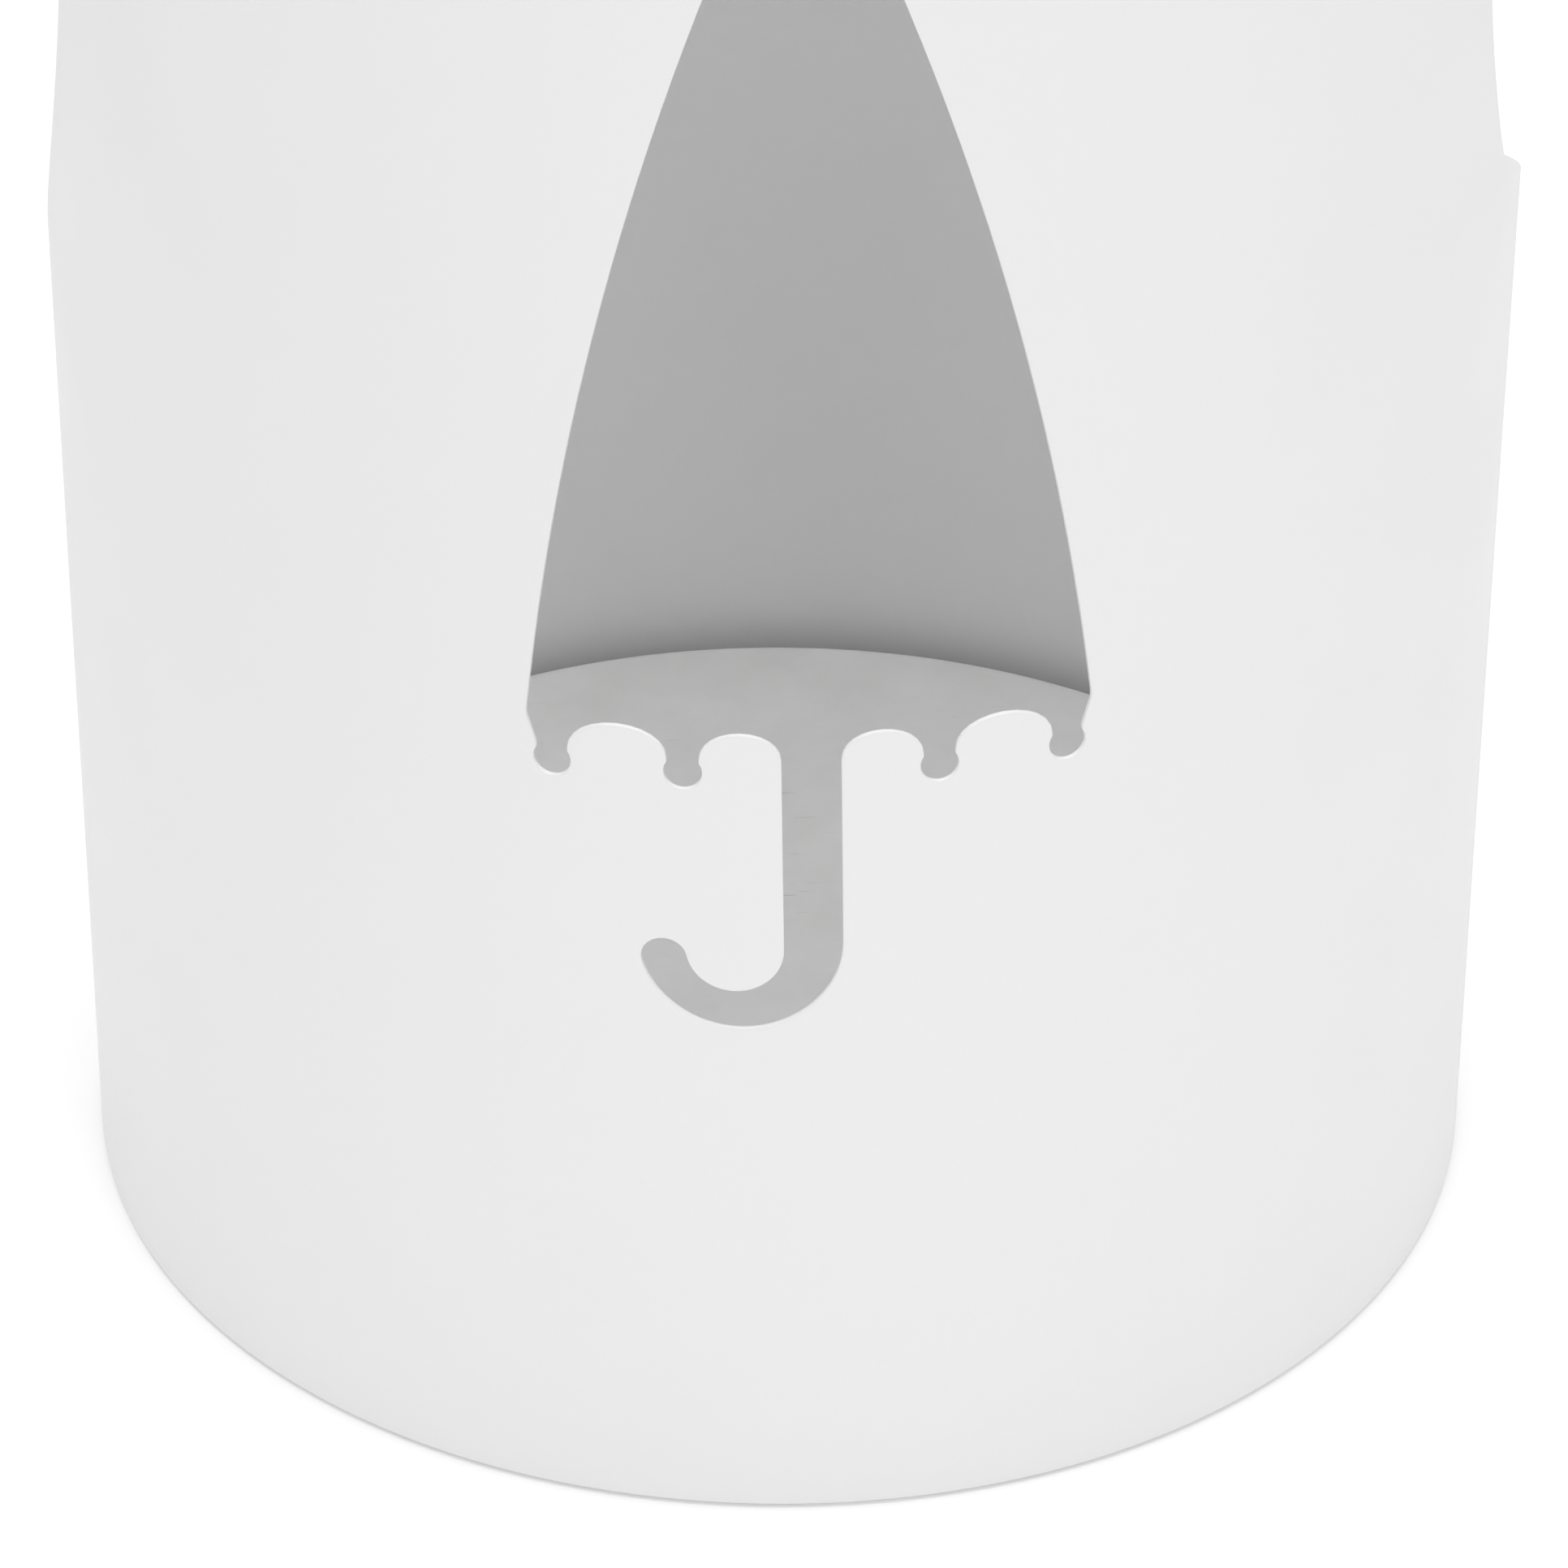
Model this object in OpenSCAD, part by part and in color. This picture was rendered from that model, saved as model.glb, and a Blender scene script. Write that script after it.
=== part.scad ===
// Round sheet-steel umbrella stand: a rolled, laser-cut cylinder with an
// umbrella-shaped cut-out at the front (-Y) and a leaf window on each side,
// a welded floor pan on rubber feet, and a raised drip plate that lifts out.
// Millimetres, +Z up, origin on the ground under the middle of the stand.
// Cut-outs are laid out on the flat sheet as [along, up] and rolled round the
// wall, so "along" is an arc length on the outer face.

/* [Body] */
// Outside diameter of the cylinder
outer_d = 240; // [210:1:300]
// Overall height, to the top of the rim bead
stand_h = 490; // [450:1:620]
// Thickness of the body sheet
sheet_t = 0.8; // [0.6:0.1:1.5]
// Gap between the ground and the sheet's lower edge
ground_gap = 0.8; // [0.5:0.1:3]
// Diameter of the split bead pressed over the top edge
bead_d = 7; // [6:0.5:10]
// Wall of the split bead
bead_t = 0.8; // [0.6:0.1:1.2]
// Where the butt seam runs, in degrees round from the front
seam_a = 135; // [125:1:150]
// Width of the butt seam
seam_w = 1.2; // [0.8:0.1:2]
// How far the seam's weld stands proud inside the wall
seam_bead = 0.4; // [0.2:0.1:1]

/* [Umbrella cut-out] */
// Height of the canopy's lower corners
canopy_z = 152.5; // [140:0.5:190]
// Width across the canopy's lower corners
canopy_w = 88.6; // [70:0.2:110]
// Radius of the long arcs that form the canopy's sides
canopy_side_r = 549; // [450:1:700]
// How far the canopy's sides lean in at the hem, in degrees
hem_lean = 7; // [4:0.5:12]
// Radius of the canopy's lower corners
corner_r = 5; // [2:0.5:8]
// Lean of the whole cut-out off upright, in degrees
motif_lean = 0.9; // [0:0.1:3]
// Half width of the spike on top of the canopy
ferrule_r = 2.4; // [1.5:0.1:4]
// Height of the spike above the canopy's apex
ferrule_h = 12; // [6:1:30]
// Radius of the balls at the rib ends
tip_r = 3; // [2:0.1:4.5]
// Width of the neck above each ball
neck_w = 5; // [3:0.1:6]
// Depth of the ball centres below the canopy's corners
tip_drop = 8.5; // [6:0.5:14]
// Distance of the outer balls in from the corners
tip_inset = 3.9; // [3:0.1:6]
// Distance of the inner balls from the shaft's middle
inner_tip_s = 19.8; // [15:0.1:25]
// Height of the necks above the ball centres
neck_rise = 2.4; // [1.8:0.1:4]
// Rise of the wide outer scallops above their necks
outer_scallop_h = 5.2; // [3:0.1:9]
// Rise of the inner scallops above their necks
inner_scallop_h = 4.7; // [3:0.1:9]
// Width of the umbrella's shaft
shaft_w = 9.2; // [6:0.1:13]
// Outer radius of the crook handle
hook_out_r = 16.05; // [13:0.05:22]
// Inner radius of the crook handle
hook_in_r = 7.7; // [5:0.05:9]
// Depth of the crook's middle below the canopy's corners
hook_drop = 40; // [30:1:60]
// How far the inner curve's middle lies below the outer one's
hook_dip = 1.3; // [0:0.1:3]
// Where the crook ends, in degrees round its middle
hook_end_a = 195; // [180:1:230]

/* [Side windows] */
// Height of the middle of each leaf window
leaf_z = 270; // [250:1:330]
// How far the leaf's middle lies in front of the side's middle
leaf_shift = 8.4; // [0:0.2:15]
// Radius of the leaf's two bowed edges
leaf_r = 133; // [110:1:180]
// Half of the leaf's width
leaf_half_w = 52; // [35:0.5:60]
// Slope of the sill that clips the leaf's lower point, in degrees
sill_slope = 32; // [20:1:45]
// Distance from the leaf's middle to the sill's line, square to it
sill_d = 71.8; // [60:0.2:85]
// Radius of the corner where the sill meets the near edge
near_r = 7; // [3:0.5:12]
// Radius of the corner where the sill meets the far edge
far_r = 10; // [3:0.5:15]

/* [Floor] */
// Height of the floor pan's upper face
pan_z = 7; // [6:0.5:12]
// Thickness of the floor pan
pan_t = 1; // [0.8:0.1:2]
// Gap between the pan's flange and the wall
pan_gap = 0.4; // [0.2:0.1:1]
// Depth of the pan's turned-down flange
pan_flange_h = 4.6; // [3:0.1:5]
// Outer bend radius of the pan and the plate
bend_r = 2.5; // [1.5:0.1:4]
// Number of stitch welds round the pan
weld_count = 8; // [4:1:16]
// Length of each stitch weld, in degrees
weld_a = 10; // [5:1:20]
// Throat of the stitch welds and of the sealant fillet
fillet_leg = 1.2; // [0.8:0.1:1.6]

/* [Drip plate] */
// Height of the drip plate's upper face
plate_z = 19.6; // [16:0.1:40]
// Thickness of the drip plate
plate_t = 1; // [0.8:0.1:2]
// Gap between the drip plate and the wall
plate_gap = 5.2; // [4.8:0.1:10]
// Diameter of the finger hole
finger_d = 24; // [18:1:30]
// Distance of the finger hole in front of the middle
finger_y = 72; // [50:1:85]
// Wall of the rubber edging
edging_t = 1.2; // [0.8:0.1:1.5]
// Height of the rubber edging
edging_h = 4.8; // [3:0.1:7]
// Clearance under the edging when the plate is seated
seat_gap = 0.2; // [0.1:0.05:0.5]

/* [Feet and screws] */
// Number of rubber feet
foot_count = 4; // [3:1:6]
// Diameter of each foot
foot_d = 22; // [18:1:30]
// Radius of the circle that the feet stand on
foot_ring_r = 88; // [70:1:95]
// Bevel round each foot's sole
foot_bevel = 1; // [0.5:0.1:2]
// Diameter of the recess for the screw head
recess_d = 11; // [10:0.5:14]
// Depth of the recess for the screw head
recess_h = 3.4; // [3:0.1:4]
// Diameter of the screws
screw_d = 4; // [3:0.5:5]
// Diameter of the screw heads
head_d = 8; // [6:0.5:9]
// Height of the screw heads
head_h = 2; // [1.5:0.1:2.4]
// Length of the screws under the head
screw_l = 10.5; // [9:0.5:12]
// Thickness of the washers
washer_t = 0.8; // [0.5:0.1:1]
// Diameter of the washers
washer_d = 9; // [8:0.5:10]
// Nut size across flats
nut_af = 7; // [7:0.5:8]
// Height of the nuts
nut_h = 3.2; // [2.4:0.1:5]

/* [Clearances] */
// Clearance between a screw and the holes that it passes through
hole_fit = 0.25; // [0.1:0.05:0.5]
// Clearance between a screw and its nut
thread_fit = 0.03; // [0.02:0.01:0.1]
// Clearance of pressed-on, welded and sealed joints
snug_fit = 0.03; // [0.01:0.01:0.1]

/* [Hidden] */

$fn = 96;
coat = [0.93, 0.93, 0.92];
rubber_grey = [0.55, 0.55, 0.56];
steel = [0.72, 0.73, 0.75];
sealant = [0.85, 0.85, 0.84];

outer_r = outer_d / 2;
inner_r = outer_r - sheet_t;
mid_r = outer_r - sheet_t / 2;
sheet_top = stand_h - bead_d / 2;
// A straight cut through the wall reaches this far in, and starts this far out
cut_depth = outer_r / 3;
cut_over = 5;
side_steps = 28;
round_steps = 12;

// The seam's weld stands proud only between the sealant and the rim bead
seam_bead_z = pan_z + fillet_leg + seam_bead;
seam_bead_top = stand_h - bead_d - seam_bead;
// The sealant lies on this stretch of the pan's bend, in degrees
seal_low_a = 20;
seal_high_a = 75;

// Canopy: two long side arcs that cross at the apex
side_c = [canopy_w / 2, canopy_z] - canopy_side_r * [cos(hem_lean), sin(hem_lean)];
spike_join_a = acos((ferrule_r - side_c[0]) / canopy_side_r);
apex_z = side_c[1] + canopy_side_r * sin(acos(-side_c[0] / canopy_side_r));
corner_c = [canopy_w / 2, canopy_z] - corner_r * [cos(hem_lean), sin(hem_lean)];
corner_end_a = -15;
tip_z = canopy_z - tip_drop;
outer_tip_s = canopy_w / 2 - tip_inset;
neck_a = acos(neck_w / 2 / tip_r);
neck_z = tip_z + neck_rise;

// Crook: a round end cap touches both the outer and the inner curve
hook_out_c = [shaft_w / 2 - hook_out_r, canopy_z - hook_drop];
hook_in_c = [-shaft_w / 2 - hook_in_r, hook_out_c[1] - hook_dip];
hook_dir = [cos(hook_end_a), sin(hook_end_a)];
hook_sum = hook_out_r + hook_in_r;
hook_off = hook_out_c - hook_in_c;
cap_dist = (hook_sum * hook_sum - hook_off * hook_off) / (2 * (hook_off * hook_dir + hook_sum));
cap_r = hook_out_r - cap_dist;
cap_c = hook_out_c + cap_dist * hook_dir;
cap_join_a = atan2(hook_in_c[1] - cap_c[1], hook_in_c[0] - cap_c[0]);

// Leaf window: two bowed edges about the leaf's middle, clipped by a sill at the
// bottom and, turned half round, at the top
bow_off = leaf_r - leaf_half_w;
sill_a = 270 - sill_slope;
near_a = acos((sill_d - near_r + bow_off * sin(sill_slope)) / (leaf_r - near_r));
near_c = [bow_off, 0] + (leaf_r - near_r) * [cos(sill_a - near_a), sin(sill_a - near_a)];
far_a = acos((sill_d - far_r - bow_off * sin(sill_slope)) / (leaf_r - far_r));
far_c = [-bow_off, 0] + (leaf_r - far_r) * [cos(sill_a + far_a), sin(sill_a + far_a)];

// Floor pan, its welds and the drip plate that stands in it
pan_r = inner_r - pan_gap;
pan_foot_z = pan_z - pan_flange_h;
plate_r = inner_r - plate_gap;
plate_foot_z = pan_z + seat_gap;
plate_flange_z = plate_foot_z + edging_t;

// Points of an arc from angle a0 to a1, without its two ends
function arc_inside(c, r, a0, a1, n) =
    [for (i = [1:n - 1]) let (a = a0 + (a1 - a0) * i / n) c + r * [cos(a), sin(a)]];

// Points of an arc from angle a0 to a1, with its two ends
function arc_pts(c, r, a0, a1, n) =
    [for (i = [0:n]) let (a = a0 + (a1 - a0) * i / n) c + r * [cos(a), sin(a)]];

// Half ellipse over one scallop, between the necks on its two sides
function scallop_pts(s_out, s_in, rise) =
    [for (i = [1:round_steps - 1]) let (a = 180 * i / round_steps)
        [(s_out + s_in) / 2 + (s_out - s_in) / 2 * cos(a), neck_z + rise * sin(a)]];

// Ball at a rib's end, with the two edges of its neck
function tip_pts(s) = concat(
    [[s + neck_w / 2, neck_z]],
    arc_pts([s, tip_z], tip_r, neck_a, -180 - neck_a, 2 * round_steps),
    [[s - neck_w / 2, neck_z]]);

// Right half of the canopy, from the top of its spike down to the shaft
function canopy_pts() = concat(
    arc_pts([0, apex_z + ferrule_h - ferrule_r], ferrule_r, 90, 0, round_steps),
    arc_pts(side_c, canopy_side_r, spike_join_a, hem_lean, side_steps),
    arc_inside(corner_c, corner_r, hem_lean, corner_end_a, round_steps / 2),
    tip_pts(outer_tip_s),
    scallop_pts(outer_tip_s - neck_w / 2, inner_tip_s + neck_w / 2, outer_scallop_h),
    tip_pts(inner_tip_s),
    scallop_pts(inner_tip_s - neck_w / 2, shaft_w / 2, inner_scallop_h),
    [[shaft_w / 2, neck_z]]);

// Crook handle, from the shaft's right edge round to its left edge
function hook_pts() = concat(
    arc_pts(hook_out_c, hook_out_r, 0, hook_end_a - 360, 3 * round_steps),
    arc_inside(cap_c, cap_r, hook_end_a, cap_join_a, round_steps),
    arc_pts(hook_in_c, hook_in_r, 180 + cap_join_a, 360, 2 * round_steps));

// The same edge on the other side, run backwards and without its first point
function mirrored(pts) = [for (i = [len(pts) - 1:-1:1]) [-pts[i][0], pts[i][1]]];

// A point turned by the cut-out's lean, about the middle of the hem
function leaned(p) = let (q = p - [0, tip_z])
    [q[0] * cos(motif_lean) - q[1] * sin(motif_lean),
     q[0] * sin(motif_lean) + q[1] * cos(motif_lean) + tip_z];

function umbrella_pts() =
    [for (p = concat(canopy_pts(), hook_pts(), mirrored(canopy_pts()))) leaned(p)];

// Half of the leaf's outline: the sill's two corners and the far edge
function leaf_half() = concat(
    arc_pts(near_c, near_r, sill_a - near_a, sill_a, round_steps),
    arc_pts(far_c, far_r, sill_a, sill_a + far_a, round_steps),
    arc_inside([-bow_off, 0], leaf_r, sill_a + far_a - 360, sill_a - near_a - 180, side_steps));

function leaf_pts() =
    [for (turn = [1, -1]) for (p = leaf_half()) turn * p + [-leaf_shift, leaf_z]];

// Where a point of the flat sheet falls when the rolled wall is seen square on
function rolled(p) = [outer_r * sin(p[0] / outer_r * 180 / PI), p[1]];

// Straight cut through the wall at the given angle round from the front
module wall_cut(pts, turn) {
    rotate([0, 0, turn]) translate([0, cut_depth - outer_r, 0]) rotate([90, 0, 0])
        linear_extrude(cut_depth + cut_over) polygon([for (p = pts) rolled(p)]);
}

// The gap that the seam's weld fills, through the full height of the sheet
module seam_cut() {
    rotate([0, 0, seam_a]) translate([-seam_w / 2, -outer_r - cut_over, -cut_over])
        cube([seam_w, 2 * cut_over, stand_h + cut_over]);
}

// Places its children on each of the feet's centres
module at_feet() {
    for (i = [0:foot_count - 1])
        rotate([0, 0, (i + 0.5) * 360 / foot_count]) translate([foot_ring_r, 0, 0]) children();
}

module washer(hole_d) {
    difference() {
        cylinder(d = washer_d, h = washer_t);
        translate([0, 0, -washer_t]) cylinder(d = hole_d, h = 3 * washer_t);
    }
}

// Outline of a pressed pan seen from the side: a flat top of radius r whose edge
// bends down into a flange
module pan_profile(r, z_top, z_foot, t) {
    polygon(concat(
        [[0, z_top]],
        arc_pts([r - bend_r, z_top - bend_r], bend_r, 90, 0, round_steps),
        [[r, z_foot], [r - t, z_foot]],
        arc_pts([r - bend_r, z_top - bend_r], bend_r - t, 0, 90, round_steps),
        [[0, z_top - t]]));
}

module body_shell() {
    color(coat) difference() {
        translate([0, 0, ground_gap]) cylinder(r = outer_r, h = sheet_top - ground_gap);
        cylinder(r = inner_r, h = stand_h);
        wall_cut(umbrella_pts(), 0);
        wall_cut(leaf_pts(), 90);
        wall_cut(leaf_pts(), -90);
        seam_cut();
    }
}

module seam_weld() {
    color(coat) intersection() {
        difference() {
            cylinder(r = outer_r, h = stand_h);
            cylinder(r = inner_r - seam_bead, h = stand_h);
            cylinder(r = inner_r, h = seam_bead_z);
            translate([0, 0, seam_bead_top]) cylinder(r = inner_r, h = stand_h);
        }
        rotate([0, 0, seam_a])
            translate([snug_fit - seam_w / 2, -outer_r - cut_over, ground_gap])
                cube([seam_w - 2 * snug_fit, 2 * cut_over, sheet_top - ground_gap]);
    }
}

module rim_bead() {
    slot_w = sheet_t + 2 * snug_fit;
    color(coat) rotate_extrude() translate([mid_r, stand_h - bead_d / 2]) difference() {
        circle(d = bead_d);
        circle(d = bead_d - 2 * bead_t);
        translate([-slot_w / 2, -bead_d]) square([slot_w, bead_d]);
    }
}

module floor_pan() {
    color(coat) difference() {
        rotate_extrude() pan_profile(pan_r, pan_z, pan_foot_z, pan_t);
        at_feet() cylinder(d = screw_d + 2 * hole_fit, h = stand_h);
    }
}

// Each weld fills the gap beside the flange and runs out under its lower edge
module floor_welds() {
    color(coat) for (i = [0:weld_count - 1])
        rotate([0, 0, i * 360 / weld_count]) rotate_extrude(angle = weld_a) polygon([
            [pan_r - fillet_leg, pan_foot_z - snug_fit],
            [inner_r - snug_fit, pan_foot_z - fillet_leg],
            [inner_r - snug_fit, pan_foot_z + fillet_leg],
            [pan_r + snug_fit, pan_foot_z + fillet_leg],
            [pan_r + snug_fit, pan_foot_z - snug_fit]]);
}

// Sealant run round the pan's bent edge, so that water stays on the pan
module floor_seal() {
    bend_c = [pan_r - bend_r, pan_z - bend_r];
    color(sealant) rotate_extrude() polygon(concat(
        arc_pts(bend_c, bend_r + snug_fit, seal_low_a, seal_high_a, round_steps),
        [[inner_r - snug_fit, pan_z + fillet_leg],
         [inner_r - snug_fit, bend_c[1] + (bend_r + snug_fit) * sin(seal_low_a)]]));
}

module rubber_feet() {
    foot_h = pan_z - pan_t;
    color(rubber_grey) at_feet() difference() {
        union() {
            cylinder(d1 = foot_d - 2 * foot_bevel, d2 = foot_d, h = foot_bevel);
            translate([0, 0, foot_bevel]) cylinder(d = foot_d, h = foot_h - foot_bevel);
        }
        translate([0, 0, -recess_h]) cylinder(d = recess_d, h = 2 * recess_h);
        cylinder(d = screw_d + 2 * hole_fit, h = foot_h + recess_h);
    }
}

module foot_screws() {
    head_top = recess_h - washer_t;
    slot_l = head_d * 2 / 3;
    slot_w = screw_d / 4;
    slot_h = head_h / 2;
    color(steel) at_feet() difference() {
        union() {
            translate([0, 0, head_top - head_h]) cylinder(d = head_d, h = head_h);
            translate([0, 0, head_top - head_h / 2]) cylinder(d = screw_d, h = screw_l + head_h / 2);
        }
        for (a = [0, 90]) rotate([0, 0, a])
            translate([-slot_l / 2, -slot_w / 2, head_top - head_h - slot_h])
                cube([slot_l, slot_w, 2 * slot_h]);
    }
}

// Washers under the screw heads, inside the feet
module foot_washers() {
    color(steel) at_feet() translate([0, 0, recess_h - washer_t])
        washer(screw_d + 2 * hole_fit);
}

// Washers on the pan, under the nuts
module pan_washers() {
    color(steel) at_feet() translate([0, 0, pan_z]) washer(screw_d + 2 * hole_fit);
}

module foot_nuts() {
    color(steel) at_feet() translate([0, 0, pan_z + washer_t]) difference() {
        cylinder(d = nut_af / cos(30), h = nut_h, $fn = 6);
        translate([0, 0, -nut_h]) cylinder(d = screw_d + 2 * thread_fit, h = 3 * nut_h);
    }
}

module drip_plate() {
    color(coat) difference() {
        rotate_extrude() pan_profile(plate_r, plate_z, plate_flange_z, plate_t);
        translate([0, -finger_y, 0]) cylinder(d = finger_d, h = stand_h);
    }
}

// U-shaped rubber edging pushed over the drip plate's lower edge
module plate_edging() {
    color(rubber_grey) rotate_extrude() difference() {
        translate([plate_r - plate_t - edging_t, plate_foot_z])
            square([plate_t + 2 * edging_t, edging_h]);
        translate([plate_r - plate_t - snug_fit, plate_flange_z - snug_fit])
            square([plate_t + 2 * snug_fit, edging_h]);
    }
}

body_shell();
seam_weld();
rim_bead();
floor_pan();
floor_welds();
floor_seal();
rubber_feet();
foot_screws();
foot_washers();
pan_washers();
foot_nuts();
drip_plate();
plate_edging();
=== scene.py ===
# %% [markdown]
# # A rolled sheet-steel umbrella stand
# The real stand starts as one flat sheet of steel. A laser cuts an umbrella shape and two leaf
# windows out of it, rollers bend it into a tube, and one upright seam is welded. A split bead is
# pressed over the sharp top edge, a pressed pan is welded in as the floor, and everything is
# powder coated white. A loose drip plate stands over the pan, so wet umbrellas drain under it.
# This lesson builds each piece the way the workshop does: flat first, then bent.

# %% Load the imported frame
import math
import bmesh
import bpy
import numpy as np
from mathutils import Matrix, Vector, geometry, kdtree


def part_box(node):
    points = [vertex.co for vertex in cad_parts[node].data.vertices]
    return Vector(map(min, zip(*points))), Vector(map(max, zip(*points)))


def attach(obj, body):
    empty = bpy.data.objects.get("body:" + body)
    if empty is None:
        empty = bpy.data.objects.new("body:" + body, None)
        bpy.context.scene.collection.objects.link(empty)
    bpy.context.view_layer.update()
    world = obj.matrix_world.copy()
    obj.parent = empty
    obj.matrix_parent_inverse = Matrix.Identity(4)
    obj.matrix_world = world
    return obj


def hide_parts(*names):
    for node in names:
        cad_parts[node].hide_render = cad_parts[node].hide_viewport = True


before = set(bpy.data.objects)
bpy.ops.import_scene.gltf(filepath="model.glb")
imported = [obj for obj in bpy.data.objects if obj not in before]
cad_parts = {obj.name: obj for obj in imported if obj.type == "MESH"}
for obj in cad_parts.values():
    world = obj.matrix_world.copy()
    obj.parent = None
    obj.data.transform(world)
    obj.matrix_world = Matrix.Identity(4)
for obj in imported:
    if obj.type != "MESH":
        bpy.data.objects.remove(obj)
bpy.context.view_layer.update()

# %% [markdown]
# ## Sizes
# The frame says where every piece is, so the big sizes are read from it. Only what a box can't
# tell, such as a gauge of sheet or a bend, is written here, in metres by way of MM.

# %% Sizes in metres
MM = 0.001
wall_low, wall_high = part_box("body_shell")
pan_low, pan_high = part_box("floor_pan")
plate_low, plate_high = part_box("drip_plate")
bead_low, bead_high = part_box("rim_bead")
edging_low, edging_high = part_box("plate_edging")
foot_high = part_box("rubber_feet")[1]
screw_low, screw_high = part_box("foot_screws")
nut_low, nut_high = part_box("foot_nuts")
sole_washer_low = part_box("foot_washers")[0]
pan_washer_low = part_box("pan_washers")[0]

wall_radius = wall_high.x
wall_sheet = 0.8 * MM
wall_inside = wall_radius - wall_sheet
pressed_sheet = 1.0 * MM
bend_radius = 2.5 * MM
seam_angle = math.radians(135)
foot_count = 4
foot_radius = 11 * MM
screw_hole = 2.25 * MM
foot_ring = (foot_high.x - foot_radius) * math.sqrt(2)
print(f"wall {2000 * wall_radius:.1f} mm across, feet on a ring of {1000 * foot_ring:.1f} mm")

# %% [markdown]
# ## Small helpers for node trees
# Geometry Nodes and shaders are both made of nodes joined by links. `put` adds one node, sets its
# options, and fills its inputs: a socket is linked and any other value is set on the input. With
# `sums` a formula reads almost as it would on paper.

# %% Node helpers
def put(tree, kind, inputs=None, **options):
    node = tree.nodes.new(kind)
    for name, value in options.items():
        setattr(node, name, value)
    for key, value in (inputs or {}).items():
        if isinstance(value, bpy.types.NodeSocket):
            tree.links.new(value, node.inputs[key])
        else:
            node.inputs[key].default_value = value
    return node


def sums(tree, operation, *values, clamp=False):
    node = put(tree, "ShaderNodeMath", dict(enumerate(values)), operation=operation)
    node.use_clamp = clamp
    return node.outputs[0]


def new_tree(name, kind, inputs, outputs):
    """A node group with named inputs and outputs, each given as (name, socket type, default)."""
    tree = bpy.data.node_groups.new(name, kind)
    for label, socket, default in inputs:
        made = tree.interface.new_socket(label, in_out="INPUT", socket_type=socket)
        if default is not None:
            made.default_value = default
    for label, socket in outputs:
        tree.interface.new_socket(label, in_out="OUTPUT", socket_type=socket)
    return tree, tree.nodes.new("NodeGroupInput").outputs, tree.nodes.new("NodeGroupOutput").inputs


print("helpers ready")

# %% [markdown]
# ## Finishes, part 1: effects that several materials share
# Powder coat is sprayed on as dust and baked. It never lies perfectly flat: it keeps a fine
# ripple called orange peel, drifts a little in tone, and traps a few specks. Each of these is a
# small node group that gives out only a height, a mask or a colour, so that every material can
# take it at its own strength. All of them read Object coordinates, which are metres here.

# %% Shared groups: orange peel, tone drift, specks
FLOAT = "NodeSocketFloat"


def noise(tree, scale, detail=2.0, roughness=0.5, vector=None):
    where = vector or tree.nodes.new("ShaderNodeTexCoord").outputs["Object"]
    return put(tree, "ShaderNodeTexNoise", {"Vector": where, "Scale": scale, "Detail": detail,
                                            "Roughness": roughness}).outputs["Fac"]


def ramp(tree, value, low, high, to_low=0.0, to_high=1.0):
    """Maps low..high on to to_low..to_high, held at both ends."""
    return put(tree, "ShaderNodeMapRange", {0: value, 1: low, 2: high, 3: to_low, 4: to_high},
               clamp=True).outputs[0]


def orange_peel_group():
    tree, given, out = new_tree("Orange peel", "ShaderNodeTree",
                                [("Ripple scale", FLOAT, 620.0), ("Grain scale", FLOAT, 3200.0),
                                 ("Grain share", FLOAT, 0.12)], [("Height", FLOAT)])
    ripple = noise(tree, given["Ripple scale"], 1.0)
    grain = noise(tree, given["Grain scale"], 2.0)
    tree.links.new(sums(tree, "MULTIPLY_ADD", grain, given["Grain share"], ripple), out["Height"])
    return tree


def tone_group():
    """Slow drift of a tone, as one colour multiplier around 1."""
    tree, given, out = new_tree("Tone drift", "ShaderNodeTree",
                                [("Scale", FLOAT, 9.0), ("Amount", FLOAT, 0.03)],
                                [("Factor", FLOAT)])
    drift = sums(tree, "SUBTRACT", noise(tree, given["Scale"], 3.0), 0.5)
    tree.links.new(sums(tree, "MULTIPLY_ADD", drift, given["Amount"], 1.0), out["Factor"])
    return tree


def specks_group():
    """Scattered nibs: one possible speck per cell, kept only where the cell's dice say so."""
    tree, given, out = new_tree("Specks", "ShaderNodeTree",
                                [("Cells per metre", FLOAT, 45.0), ("Size", FLOAT, 0.012),
                                 ("Kept", FLOAT, 0.25)], [("Mask", FLOAT)])
    where = tree.nodes.new("ShaderNodeTexCoord").outputs["Object"]
    cells = put(tree, "ShaderNodeTexVoronoi", {"Vector": where, "Scale": given["Cells per metre"]})
    dice = put(tree, "ShaderNodeSeparateColor", {0: cells.outputs["Color"]})
    spot = ramp(tree, cells.outputs["Distance"], given["Size"], 0.0)
    kept = sums(tree, "LESS_THAN", dice.outputs[0], given["Kept"])
    size = ramp(tree, dice.outputs[1], 0.0, 1.0, 0.3, 1.0)
    tree.links.new(sums(tree, "MULTIPLY", sums(tree, "MULTIPLY", spot, kept), size), out["Mask"])
    return tree


ORANGE_PEEL, TONE, SPECKS = orange_peel_group(), tone_group(), specks_group()
print("groups:", [g.name for g in (ORANGE_PEEL, TONE, SPECKS)])

# %% [markdown]
# Dust settles only on what faces up, and scuffs are short strokes in every direction. The dust
# group looks at the surface's own normal. The scuff group stretches a noise across three turned
# directions and keeps only its thin crests.

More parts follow.
